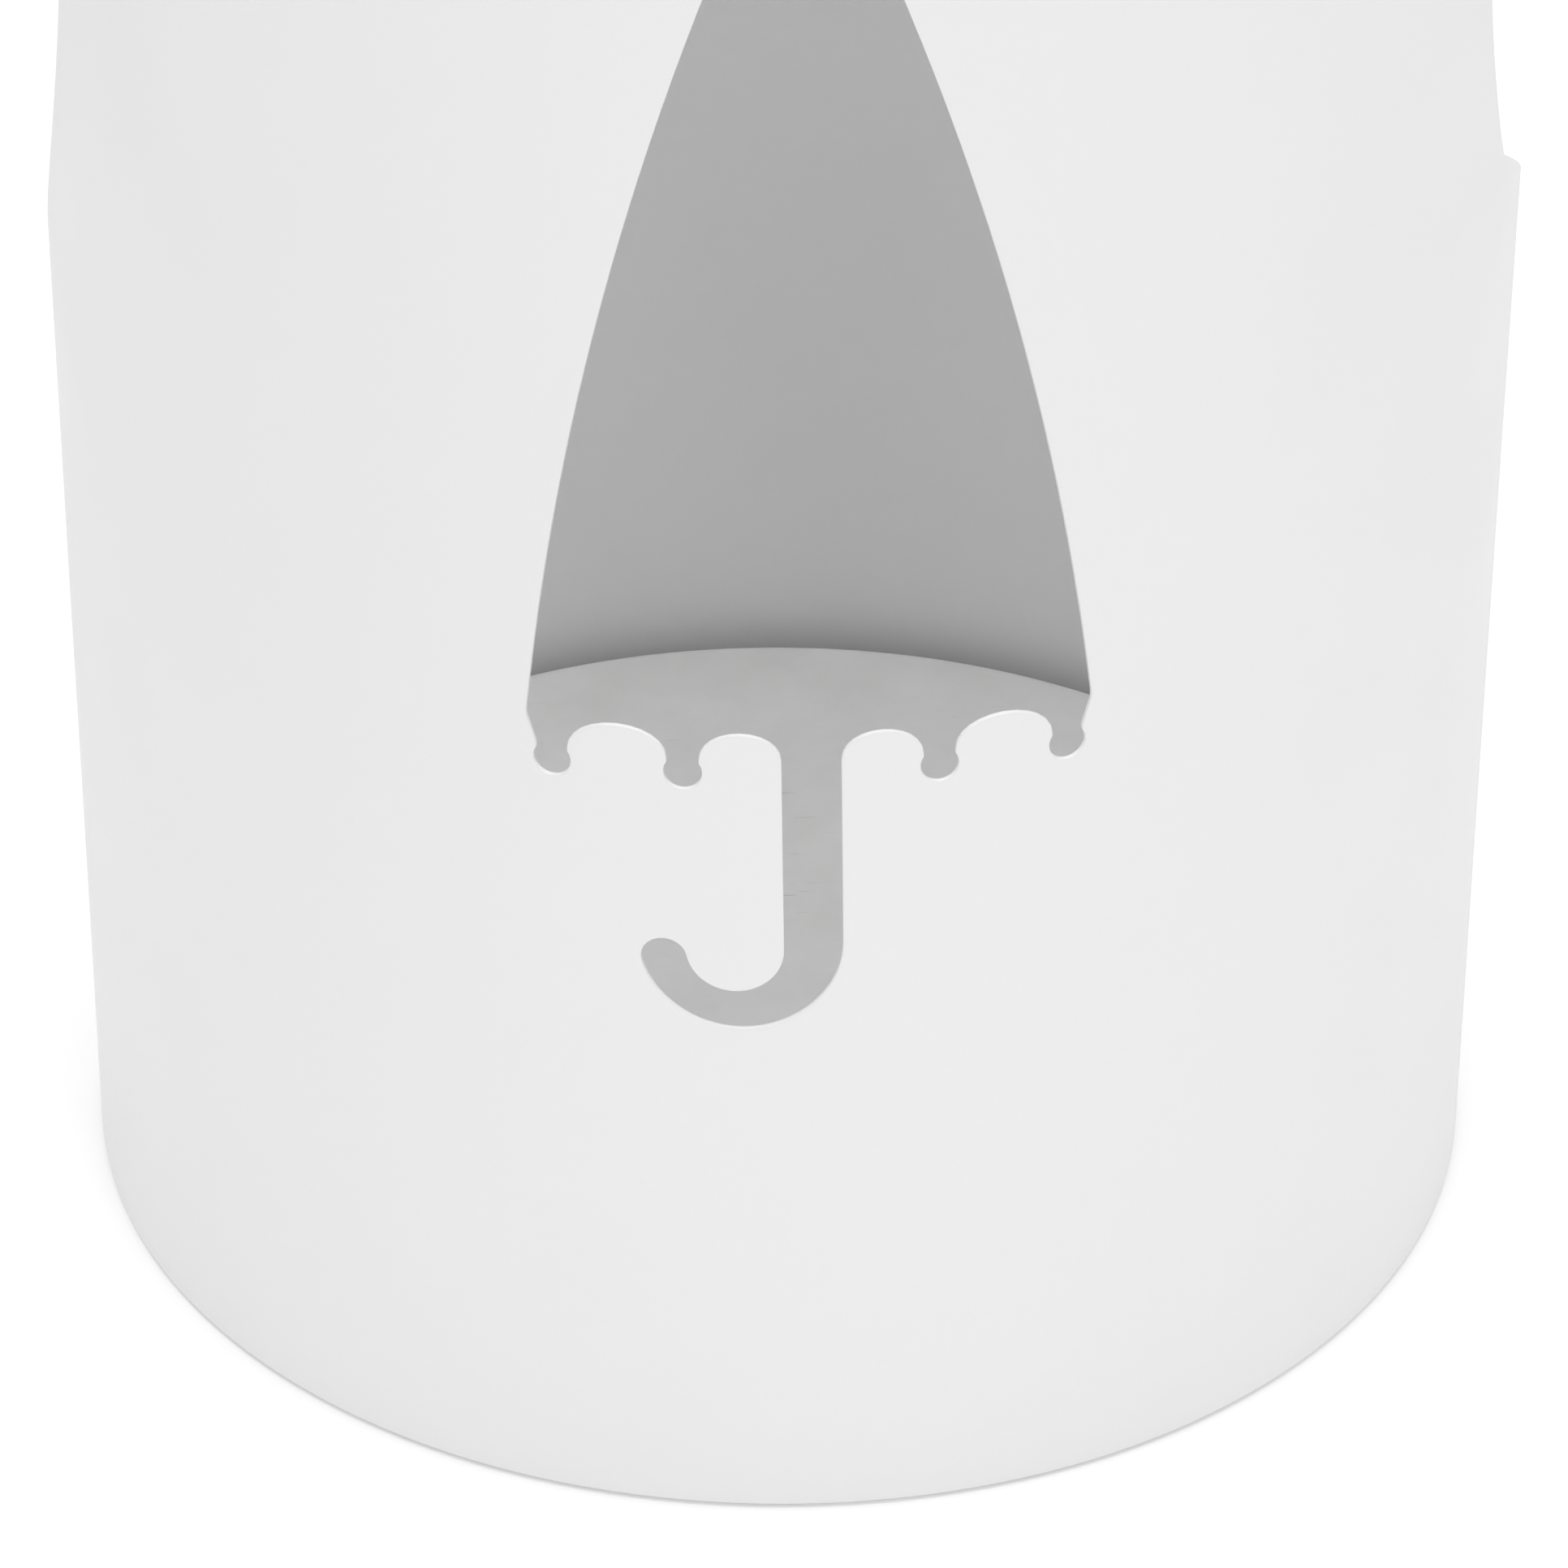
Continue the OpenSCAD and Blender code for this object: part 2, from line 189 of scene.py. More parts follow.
# %% Shared groups: dust and scuffs
def dust_group():
    tree, given, out = new_tree("Settled dust", "ShaderNodeTree",
                                [("Scale", FLOAT, 60.0), ("Cover", FLOAT, 0.5)], [("Mask", FLOAT)])
    normal = tree.nodes.new("ShaderNodeNewGeometry").outputs["Normal"]
    up = put(tree, "ShaderNodeSeparateXYZ", {0: normal}).outputs["Z"]
    facing = ramp(tree, up, 0.55, 0.98)
    patches = ramp(tree, noise(tree, given["Scale"], 5.0, 0.62), 0.35, 0.75)
    tree.links.new(sums(tree, "MULTIPLY", sums(tree, "MULTIPLY", facing, patches),
                        given["Cover"]), out["Mask"])
    return tree


def scuff_group():
    tree, given, out = new_tree("Scuffs", "ShaderNodeTree",
                                [("Scale", FLOAT, 55.0), ("Cover", FLOAT, 1.0)], [("Mask", FLOAT)])
    where = tree.nodes.new("ShaderNodeTexCoord").outputs["Object"]
    total = None
    for turn in (0.3, 1.5, 2.4):
        turned = put(tree, "ShaderNodeMapping", {"Vector": where, "Rotation": (0, 0, turn),
                                                 "Scale": (1.0, 14.0, 14.0)}).outputs[0]
        crest = ramp(tree, noise(tree, given["Scale"], 2.0, 0.6, turned), 0.70, 0.76)
        total = crest if total is None else sums(tree, "MAXIMUM", total, crest)
    broken = ramp(tree, noise(tree, 24.0, 2.0), 0.50, 0.62)
    tree.links.new(sums(tree, "MULTIPLY", sums(tree, "MULTIPLY", total, broken),
                        given["Cover"]), out["Mask"])
    return tree


DUST, SCUFFS = dust_group(), scuff_group()
print("groups:", [g.name for g in (DUST, SCUFFS)])

# %% [markdown]
# ## Finishes, part 2: the materials
# Each material owns one Principled shader. Values that are the same all over are set straight on
# its sockets, and only what changes over the surface comes through links. Colours are stirred
# with Mix nodes, from the clean coat towards dust, specks and scuffs.

# %% Material helpers
def use(tree, group, **values):
    node = put(tree, "ShaderNodeGroup", node_tree=group)
    for name, value in values.items():
        node.inputs[name.replace("_", " ")].default_value = value
    return node.outputs[0]


def tint(tree, colour, factor):
    """A colour with all three channels multiplied by a factor that changes over the surface."""
    return put(tree, "ShaderNodeVectorMath", {0: colour, 3: factor}, operation="SCALE").outputs[0]


def stir(tree, factor, base, other):
    return put(tree, "ShaderNodeMix", {0: factor, 6: base, 7: other}, data_type="RGBA").outputs[2]


def bump(tree, height, depth, below=None):
    inputs = {"Height": height, "Distance": depth, "Strength": 1.0}
    if below is not None:
        inputs["Normal"] = below
    return put(tree, "ShaderNodeBump", inputs).outputs[0]


def material(name, metallic=0.0, specular=0.5):
    mat = bpy.data.materials.new(name)
    mat.use_nodes = True
    shader = mat.node_tree.nodes["Principled BSDF"]
    shader.inputs["Metallic"].default_value = metallic
    shader.inputs["Specular IOR Level"].default_value = specular
    return mat, mat.node_tree, shader.inputs


def connect(tree, inputs, **sources):
    for name, source in sources.items():
        tree.links.new(source, inputs[name.replace("_", " ")])


print("material helpers ready")

# %% [markdown]
# The coat is a warm white with a satin sheen. The drip plate has the same coat, but it works
# harder: umbrella tips scuff it and it keeps a film of dust, so it gets a version with more wear.
# That version's base tone is also darker, as painted shade for the plate deep inside the tube.

# %% White powder coat: clean, and worn with painted shade
def powder_coat(name, tone, dust, scuffs):
    mat, tree, shader = material(name)
    drift = use(tree, TONE, Scale=7.0, Amount=0.035)
    clean = tint(tree, tone, drift)
    specks = use(tree, SPECKS, Cells_per_metre=42.0, Size=0.012, Kept=0.22)
    speckled = stir(tree, specks, clean, (0.30, 0.29, 0.28, 1))
    dusty = stir(tree, use(tree, DUST, Cover=dust), speckled, (0.50, 0.49, 0.47, 1))
    strokes = use(tree, SCUFFS, Cover=scuffs)
    peel = use(tree, ORANGE_PEEL)
    rough = ramp(tree, noise(tree, 35.0, 3.0), 0.3, 0.7, 0.40, 0.50)
    connect(tree, shader, Base_Color=stir(tree, strokes, dusty, (0.42, 0.42, 0.42, 1)),
            Roughness=sums(tree, "MULTIPLY_ADD", strokes, 0.15, rough),
            Normal=bump(tree, specks, 0.05 * MM, bump(tree, peel, 0.035 * MM)))
    return mat


COAT = powder_coat("White powder coat", (0.90, 0.90, 0.90), 0.05, 0.0)
# The worn copy's darker base tone is painted shade for the plate inside the tube; its dust and
# scuffs are wear.
COAT_WORN_AND_SHADED = powder_coat("Worn powder coat with painted shade", (0.83, 0.83, 0.83), 0.20, 0.5)
print("coats:", COAT.name, "/", COAT_WORN_AND_SHADED.name)

# %% [markdown]
# The feet and the plate's edging are grey rubber, moulded with a fine grain. The screws, washers
# and nuts are bright zinc plate, which is cloudy and finely brushed. The sealant is a matt white
# bead that a wet finger has smoothed.

# %% Rubber, zinc plate and sealant
def rubber():
    mat, tree, shader = material("Grey rubber", specular=0.3)
    grey = tint(tree, (0.105, 0.107, 0.112), use(tree, TONE, Scale=60.0, Amount=0.5))
    dusty = stir(tree, use(tree, DUST, Scale=140.0, Cover=0.35), grey, (0.34, 0.33, 0.32, 1))
    grain = use(tree, ORANGE_PEEL, Ripple_scale=2600.0, Grain_scale=9000.0, Grain_share=0.5)
    rough = ramp(tree, noise(tree, 180.0, 3.0), 0.3, 0.7, 0.62, 0.82)
    connect(tree, shader, Base_Color=dusty, Roughness=rough, Normal=bump(tree, grain, 0.03 * MM))
    return mat


def zinc():
    mat, tree, shader = material("Bright zinc plate", metallic=1.0)
    cloud = use(tree, TONE, Scale=420.0, Amount=0.35)
    dulled = stir(tree, use(tree, DUST, Scale=300.0, Cover=0.3),
                  tint(tree, (0.66, 0.68, 0.71), cloud), (0.36, 0.35, 0.33, 1))
    brushed = use(tree, SCUFFS, Scale=900.0, Cover=1.0)
    rough = ramp(tree, noise(tree, 700.0, 3.0), 0.3, 0.7, 0.24, 0.42)
    connect(tree, shader, Base_Color=dulled, Normal=bump(tree, brushed, 0.006 * MM),
            Roughness=sums(tree, "MULTIPLY_ADD", brushed, 0.15, rough))
    return mat


def sealant():
    mat, tree, shader = material("White sealant", specular=0.35)
    tone = tint(tree, (0.70, 0.69, 0.66), use(tree, TONE, Scale=40.0, Amount=0.15))
    grimy = stir(tree, use(tree, DUST, Scale=90.0, Cover=0.5), tone, (0.40, 0.38, 0.35, 1))
    dents = use(tree, ORANGE_PEEL, Ripple_scale=260.0, Grain_scale=1500.0, Grain_share=0.2)
    rough = ramp(tree, noise(tree, 120.0, 2.0), 0.3, 0.7, 0.50, 0.66)
    connect(tree, shader, Base_Color=grimy, Roughness=rough, Normal=bump(tree, dents, 0.15 * MM))
    return mat


RUBBER, ZINC, SEALANT = rubber(), zinc(), sealant()
print("materials:", [m.name for m in (RUBBER, ZINC, SEALANT)])

# %% [markdown]
# ## From a node tree to a plain mesh
# A Geometry Nodes modifier is a recipe. To hand a piece over, Blender evaluates the recipe once
# and the result is kept as an ordinary mesh. Inputs are set by the socket's identifier before
# that. `hand_over` then says which body the piece moves with and hides the plain CAD solids it
# stands for.

# %% Evaluate a recipe and hand a piece over
def placed(name, data):
    """A new object at the origin of the scene."""
    obj = bpy.data.objects.new(name, data)
    bpy.context.scene.collection.objects.link(obj)
    return obj


def mesh_from(bm, name):
    """Turns edited geometry into a mesh and lets go of it."""
    mesh = bpy.data.meshes.new(name)
    bm.to_mesh(mesh)
    bm.free()
    return mesh


def mesh_of(obj):
    depsgraph = bpy.context.evaluated_depsgraph_get()
    return bpy.data.meshes.new_from_object(obj.evaluated_get(depsgraph), depsgraph=depsgraph)


def grown(name, tree, mesh, **sizes):
    """The plain mesh object that a tree makes of a mesh, with its inputs set by name."""
    obj = placed(name, mesh)
    recipe = obj.modifiers.new(tree.name, "NODES")
    recipe.node_group = tree
    for item in tree.interface.items_tree:
        if item.in_out == "INPUT" and item.name.replace(" ", "_") in sizes:
            recipe[item.identifier] = sizes[item.name.replace(" ", "_")]
    plain = mesh_of(obj)
    obj.modifiers.remove(recipe)
    obj.data = plain
    return obj


def finished(obj, *modifiers):
    """Applies modifiers, each given as (type, settings), and keeps the plain mesh."""
    for kind, settings in modifiers:
        added = obj.modifiers.new(kind.title(), kind)
        for key, value in settings.items():
            setattr(added, key, value)
    plain = mesh_of(obj)
    obj.modifiers.clear()
    obj.data = plain
    return obj


def hand_over(obj, body, slot, *nodes):
    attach(obj, body)
    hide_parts(*nodes)
    triangles = sum(len(face.vertices) - 2 for face in obj.data.polygons)
    print(f"{obj.name}: {triangles} triangles, on {body}")


print("ready to evaluate recipes")

# %% [markdown]
# ## Cutting a flat blank
# A laser cuts along outlines. Here the outlines come from the CAD solid's own outer face, so the
# cut-outs match it exactly, and a constrained Delaunay triangulation fills the sheet between
# them. Extra points make the triangles small and even enough to bend well, and one row of them
# follows each cut closely, so that the shading stays calm beside the edge.

# %% Outline tools
def closed_loops(edges):
    """Orders loose edges, given as pairs of keys, into closed loops of keys."""
    beside = {}
    for a, b in edges:
        beside.setdefault(a, []).append(b)
        beside.setdefault(b, []).append(a)
    loops = []
    while beside:
        start = next(iter(beside))
        loop, here, before = [start], beside[start][0], start
        while here != start:
            loop.append(here)
            ahead = beside[here][0] if beside[here][1] == before else beside[here][1]
            here, before = ahead, here
        for key in loop:
            del beside[key]
        loops.append(loop)
    return loops


def outer_face_loops(node, radius):
    """Outlines of a CAD node's face at this radius, as closed lists of points in space."""
    bm = bmesh.new()
    bm.from_mesh(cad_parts[node].data)
    bmesh.ops.remove_doubles(bm, verts=bm.verts, dist=0.002 * MM)
    on_face = {f for f in bm.faces
               if all(abs(math.hypot(v.co.x, v.co.y) - radius) < 0.02 * MM for v in f.verts)}
    rim = [e for e in bm.edges if sum(f in on_face for f in e.link_faces) == 1]
    loops = closed_loops([(e.verts[0].index, e.verts[1].index) for e in rim])
    bm.verts.ensure_lookup_table()
    points = [[bm.verts[i].co.copy() for i in loop] for loop in loops]
    bm.free()
    return points


def stepped(loop, step):
    """The loop with each long side divided into equal steps."""
    points = []
    for a, b in zip(loop, loop[1:] + loop[:1]):
        count = max(1, math.ceil((b - a).length / step))
        points += [a.lerp(b, i / count) for i in range(count)]
    return points


def circle(centre, radius, count):
    turns = [2 * math.pi * i / count for i in range(count)]
    return [Vector(centre) + radius * Vector((math.cos(a), math.sin(a))) for a in turns]


wall_loops = outer_face_loops("body_shell", wall_radius)
print("outlines on the wall's face:", sorted(len(loop) for loop in wall_loops))

# %% The blank itself
SLIVER = 2e-12  # square metres: a triangle this thin lies along an outline


def inside(points, loops):
    """Which points lie on the sheet: inside an odd number of outlines."""
    x, y = np.array(points, float).reshape(-1, 2).T
    odd = np.zeros(len(x), bool)
    for loop in loops:
        for (x0, y0), (x1, y1) in zip(loop, loop[1:] + loop[:1]):
            if y0 != y1:
                odd ^= ((y0 > y) != (y1 > y)) & (x < (x1 - x0) * (y - y0) / (y1 - y0) + x0)
    return odd


def beside_cuts(loop, offset):
    """Points at a set distance from a loop's corners, on both sides of it."""
    found = []
    for before, here, after in zip(loop[-1:] + loop[:-1], loop, loop[1:] + loop[:1]):
        along = (after - before).normalized()
        across = Vector((-along.y, along.x)) * offset
        found += [here + across, here - across]
    return found


def blank(name, loops, filling, offset, clear):
    """A flat sheet mesh in X and Y, between the first outline and the holes inside it."""
    outline = kdtree.KDTree(sum(len(loop) for loop in loops))
    points, edges = [], []
    for loop in loops:
        first, count = len(points), len(loop)
        points += loop
        edges += [(first + i, first + (i + 1) % count) for i in range(count)]
    for i, point in enumerate(points):
        outline.insert((point.x, point.y, 0), i)
    outline.balance()
    close = [p for loop in loops for p in beside_cuts(loop, offset)]
    for wanted, distance in ((close, 0.9 * offset), (filling, clear)):
        on_sheet = inside(wanted, loops)
        points += [p for p, good in zip(wanted, on_sheet)
                   if good and outline.find((p.x, p.y, 0))[2] > distance]
    corners, _, triangles, *_ = geometry.delaunay_2d_cdt(points, edges, [], 0, 1e-8)
    middles = [sum((corners[i] for i in t), Vector((0, 0))) / 3 for t in triangles]
    areas = [abs((corners[b] - corners[a]).cross(corners[c] - corners[a])) / 2
             for a, b, c in triangles]
    kept = [t for t, good, area in zip(triangles, inside(middles, loops), areas)
            if good and area > SLIVER]
    mesh = bpy.data.meshes.new(name)
    mesh.from_pydata([(c.x, c.y, 0) for c in corners], [], kept)
    bm = bmesh.new()
    bm.from_mesh(mesh)
    bmesh.ops.delete(bm, geom=[v for v in bm.verts if not v.link_faces], context="VERTS")
    bm.to_mesh(mesh)
    bm.free()
    return mesh


def unrolled(loop):
    """A loop on the wall laid flat: X runs round the wall from the seam, and Y runs up."""
    return [Vector((wall_radius * ((math.atan2(p.x, -p.y) - seam_angle) % (2 * math.pi)), p.z))
            for p in loop]


flat_loops = [stepped(unrolled(loop), 2.4 * MM) for loop in wall_loops]
flat_loops.sort(key=lambda loop: max(p.x for p in loop) - min(p.x for p in loop), reverse=True)
sheet_length = 2 * math.pi * wall_radius
columns, rows = 330, 44
grid = [Vector((sheet_length * (i + 0.5 * (j % 2)) / columns,
                wall_low.z + (wall_high.z - wall_low.z) * (j + 0.5) / rows))
        for i in range(columns) for j in range(rows)]
wall_blank = blank("wall_blank", flat_loops, grid, 0.7 * MM, 1.5 * MM)
print(f"blank: {1000 * sheet_length:.0f} mm long, {len(wall_blank.polygons)} triangles")

# %% [markdown]
# ## Rolling the wall
# Rollers bend the flat blank without stretching it: a point at a length s along the sheet ends at
# the angle s / radius round the tube. That is a rule, so Geometry Nodes do it with Set Position.
# A real rolled sheet is never a perfect tube, so a very low wave, a tenth of a millimetre, moves
# the wall in and out. Before that, while it is still flat, Solidify gives the blank its gauge and
# Bevel rounds the laser cut edges, as a thick powder coat does.

# %% A recipe that rolls a blank
def roll_tree():
    tree, given, out = new_tree(
        "Roll a blank", "GeometryNodeTree",
        [("Geometry", "NodeSocketGeometry", None), ("Radius", FLOAT, wall_radius),
         ("Seam angle", FLOAT, seam_angle), ("Wave", FLOAT, 0.0), ("Wave scale", FLOAT, 11.0),
         ("Finish", "NodeSocketMaterial", None)], [("Geometry", "NodeSocketGeometry")])
    flat = put(tree, "ShaderNodeSeparateXYZ",
               {0: tree.nodes.new("GeometryNodeInputPosition").outputs[0]}).outputs
    turn = sums(tree, "ADD", sums(tree, "DIVIDE", flat["X"], given["Radius"]), given["Seam angle"])

    def on_tube(radius):
        x = sums(tree, "MULTIPLY", radius, sums(tree, "SINE", turn))
        y = sums(tree, "MULTIPLY", radius, sums(tree, "COSINE", turn))
        return put(tree, "ShaderNodeCombineXYZ",
                   {"X": x, "Y": sums(tree, "MULTIPLY", y, -1.0), "Z": flat["Y"]}).outputs[0]

    ripple = noise_in(tree, on_tube(given["Radius"]), given["Wave scale"])
    wave = sums(tree, "MULTIPLY", sums(tree, "SUBTRACT", ripple, 0.5), given["Wave"])
    depth = sums(tree, "ADD", flat["Z"], sums(tree, "MULTIPLY", wave, 2.0))
    radius = sums(tree, "ADD", given["Radius"], depth)
    rolled = put(tree, "GeometryNodeSetPosition",
                 {"Geometry": given["Geometry"], "Position": on_tube(radius)}).outputs[0]
    finish_off(tree, rolled, given["Finish"], out)
    return tree


def noise_in(tree, position, scale):
    return put(tree, "ShaderNodeTexNoise",
               {"Vector": position, "Scale": scale, "Detail": 1.0}).outputs["Fac"]


def finish_off(tree, geometry_socket, finish, out):
    """The end of every recipe: smooth shading, real geometry, and its material."""
    smooth = put(tree, "GeometryNodeSetShadeSmooth", {"Geometry": geometry_socket}).outputs[0]
    real = put(tree, "GeometryNodeRealizeInstances", {"Geometry": smooth}).outputs[0]
    coated = put(tree, "GeometryNodeSetMaterial", {"Geometry": real, "Material": finish})
    tree.links.new(coated.outputs[0], out["Geometry"])


ROLL = roll_tree()
print("recipe:", ROLL.name)

# %% Give the blank its gauge, then roll it
def sheet_metal(name, face, gauge, edge=0.16 * MM):
    """A flat face made into sheet of a gauge below it, with its cut edges rounded."""
    obj = placed(name, face)
    finished(obj, ("SOLIDIFY", {"thickness": gauge, "offset": -1.0}),
             ("BEVEL", {"width": edge, "segments": 2, "limit_method": "ANGLE",
                        "angle_limit": math.radians(55)}))
    sheet = obj.data
    bpy.data.objects.remove(obj)
    return sheet


def calm(obj):
    """Lets the large faces set the shading beside a rounded edge."""
    return finished(obj, ("WEIGHTED_NORMAL", {"keep_sharp": True, "weight": 80}))


wall = grown("rolled_wall", ROLL, sheet_metal("wall_sheet", wall_blank, wall_sheet),
             Radius=wall_radius, Seam_angle=seam_angle, Wave=0.12 * MM, Finish=COAT)
hand_over(calm(wall), "stand", "powder_coat", "body_shell")

# %% [markdown]
# ## Sweeping a section along a path
# The split bead, the sealant, the stitch welds and the rubber edging are each one section carried
# along a line. Curve to Mesh does that. The path's radius can pulse, which gives a weld its
# ripples. The section is a closed outline of points (outwards, up). Along a path that runs
# anticlockwise, a profile's own Y points down, so `swept` turns the section over.

# %% A recipe that sweeps a section
def sweep_tree():
    tree, given, out = new_tree(
        "Sweep a section", "GeometryNodeTree",
        [("Geometry", "NodeSocketGeometry", None), ("Step", FLOAT, 1 * MM),
         ("Ripple pitch", FLOAT, 1.5 * MM), ("Ripple", FLOAT, 0.0), ("Smudge", FLOAT, 0.0),
         ("Finish", "NodeSocketMaterial", None), ("Section", "NodeSocketObject", None)],
        [("Geometry", "NodeSocketGeometry")])
    path = put(tree, "GeometryNodeMeshToCurve", {0: given["Geometry"]}).outputs[0]
    upright = put(tree, "GeometryNodeSetCurveNormal", {0: path}, mode="Z_UP").outputs[0]
    fine = put(tree, "GeometryNodeResampleCurve", mode="LENGTH")
    tree.links.new(upright, fine.inputs["Curve"])
    tree.links.new(given["Step"], fine.inputs["Length"])
    section = put(tree, "GeometryNodeObjectInfo", {"Object": given["Section"]})
    outline = put(tree, "GeometryNodeMeshToCurve", {0: section.outputs["Geometry"]}).outputs[0]
    along = tree.nodes.new("GeometryNodeSplineParameter").outputs["Length"]
    phase = sums(tree, "MULTIPLY", sums(tree, "DIVIDE", along, given["Ripple pitch"]), math.pi)
    dip = sums(tree, "SUBTRACT", sums(tree, "ABSOLUTE", sums(tree, "SINE", phase)), 1.0)
    where = tree.nodes.new("GeometryNodeInputPosition").outputs[0]
    soft = sums(tree, "SUBTRACT", noise_in(tree, where, 240.0), 1.0)
    scale = sums(tree, "MULTIPLY_ADD", dip, given["Ripple"],
                 sums(tree, "MULTIPLY_ADD", soft, given["Smudge"], 1.0))
    swept = put(tree, "GeometryNodeCurveToMesh", {"Fill Caps": True, "Scale": scale})
    tree.links.new(fine.outputs[0], swept.inputs["Curve"])
    tree.links.new(outline, swept.inputs["Profile Curve"])
    finish_off(tree, swept.outputs[0], given["Finish"], out)
    return tree


SWEEP = sweep_tree()


def line_mesh(name, points, closed):
    count = len(points)
    edges = [(i, (i + 1) % count) for i in range(count if closed else count - 1)]
    mesh = bpy.data.meshes.new(name)
    mesh.from_pydata([tuple(p) for p in points], edges, [])
    return mesh


def swept(name, paths, section, finish, **sizes):
    """A closed solid along each path. The section's points are (outwards, up) from the path."""
    bm = bmesh.new()
    for points, closed in paths:
        bm.from_mesh(line_mesh(name, points, closed))
    path_mesh = mesh_from(bm, name)
    outline = placed(name + "_section", line_mesh(name, [(x, -y, 0) for x, y in section], True))
    obj = grown(name, SWEEP, path_mesh, Section=outline, Finish=finish, **sizes)
    bpy.data.objects.remove(outline)
    bm = bmesh.new()
    bm.from_mesh(obj.data)
    bmesh.ops.recalc_face_normals(bm, faces=bm.faces)
    bm.to_mesh(obj.data)
    bm.free()
    return obj


def arc(centre, radius, start, end, count):
    """Points of an arc in a section, angles in degrees."""
    angles = [math.radians(start + (end - start) * i / count) for i in range(count + 1)]
    return [(centre[0] + radius * math.cos(a), centre[1] + radius * math.sin(a)) for a in angles]


def ring(radius, height, gap=0.0, start=0.0, count=240):
    """A level ring, or with a gap at its start an open path."""
    opening = gap / radius
    turns = [start + opening / 2 + (2 * math.pi - opening) * i / count
             for i in range(count if gap == 0 else count + 1)]
    return [(radius * math.sin(t), -radius * math.cos(t), height) for t in turns], gap == 0


print("recipe:", SWEEP.name)

# %% [markdown]
# ## The split bead on the top edge
# A bare cut edge at hand height would be sharp, so a tube split along its length is pressed over
# it. Its section is a C with rounded lips that grip the sheet. Its two ends meet at the seam with
# a hairline joint, as a bent strip's do.

# %% Rim bead
bead_outer = (bead_high.z - bead_low.z) / 2
bead_wall = 0.8 * MM
bead_inner = bead_outer - bead_wall
bead_path_radius = bead_high.x - bead_outer
lip = wall_sheet / 2 + bead_wall / 2 + 0.06 * MM
lip_turn = math.degrees(math.asin(lip / (bead_outer - bead_wall / 2)))
lip_height = -(bead_outer - bead_wall / 2) * math.cos(math.radians(lip_turn))
bead_section = (arc((0, 0), bead_outer, 270 + lip_turn, 630 - lip_turn, 40)
                + arc((-lip, lip_height), bead_wall / 2, 270 - lip_turn, 90 - lip_turn, 6)[1:-1]
                + arc((0, 0), bead_inner, 630 - lip_turn, 270 + lip_turn, 32)
                + arc((lip, lip_height), bead_wall / 2, 90 + lip_turn, lip_turn - 90, 6)[1:-1])
rim = swept("rim_bead_strip", [ring(bead_path_radius, bead_low.z + bead_outer, 0.25 * MM,
                                    seam_angle, 256)], bead_section, COAT, Step=2.6 * MM)
hand_over(rim, "stand", "powder_coat", "rim_bead")

# %% [markdown]
# ## Pressing a pan from a round blank
# The floor pan and the drip plate are flat discs whose edges are bent down in a press. A point
# keeps its distance along the sheet: on the flat first, then round the bend, then down the
# flange. That rule is a Set Position again, so both pieces share one recipe.

# %% A recipe that presses a blank
def press_tree():
    tree, given, out = new_tree(
        "Press a blank", "GeometryNodeTree",
        [("Geometry", "NodeSocketGeometry", None), ("Outer radius", FLOAT, 0.1),
         ("Bend radius", FLOAT, bend_radius), ("Top", FLOAT, 0.0), ("Dish", FLOAT, 0.0),
         ("Finish", "NodeSocketMaterial", None)], [("Geometry", "NodeSocketGeometry")])
    flat = put(tree, "ShaderNodeSeparateXYZ",
               {0: tree.nodes.new("GeometryNodeInputPosition").outputs[0]}).outputs
    squares = sums(tree, "ADD", sums(tree, "MULTIPLY", flat["X"], flat["X"]),
                   sums(tree, "MULTIPLY", flat["Y"], flat["Y"]))
    reach = sums(tree, "MAXIMUM", sums(tree, "SQRT", squares), 1e-6)
    level = sums(tree, "SUBTRACT", given["Outer radius"], given["Bend radius"])
    on_flat = sums(tree, "MINIMUM", reach, level)
    past = sums(tree, "MAXIMUM", sums(tree, "SUBTRACT", reach, level), 0.0)
    turn = sums(tree, "MINIMUM", sums(tree, "DIVIDE", past, given["Bend radius"]), math.pi / 2)
    arc_length = sums(tree, "MULTIPLY", given["Bend radius"], turn)
    radius = sums(tree, "MULTIPLY_ADD", sums(tree, "SINE", turn), given["Bend radius"], on_flat)
    fall = sums(tree, "MULTIPLY", given["Bend radius"],
                sums(tree, "SUBTRACT", 1.0, sums(tree, "COSINE", turn)))
    down = sums(tree, "ADD", fall, sums(tree, "SUBTRACT", past, arc_length))
    radius = sums(tree, "MULTIPLY_ADD", flat["Z"], sums(tree, "SINE", turn), radius)
    sunk = sums(tree, "SUBTRACT", sums(tree, "MULTIPLY", flat["Z"], sums(tree, "COSINE", turn)),
                down)
    slack = sums(tree, "SUBTRACT", 1.0, sums(tree, "POWER", sums(tree, "DIVIDE", on_flat, level),
                                             2.0))
    height = sums(tree, "SUBTRACT", sums(tree, "ADD", given["Top"], sunk),
                  sums(tree, "MULTIPLY", slack, given["Dish"]))
    share = sums(tree, "DIVIDE", radius, reach)
    place = put(tree, "ShaderNodeCombineXYZ",
                {"X": sums(tree, "MULTIPLY", flat["X"], share),
                 "Y": sums(tree, "MULTIPLY", flat["Y"], share), "Z": height}).outputs[0]
    pressed = put(tree, "GeometryNodeSetPosition",
                  {"Geometry": given["Geometry"], "Position": place}).outputs[0]
    finish_off(tree, pressed, given["Finish"], out)
    return tree


PRESS = press_tree()


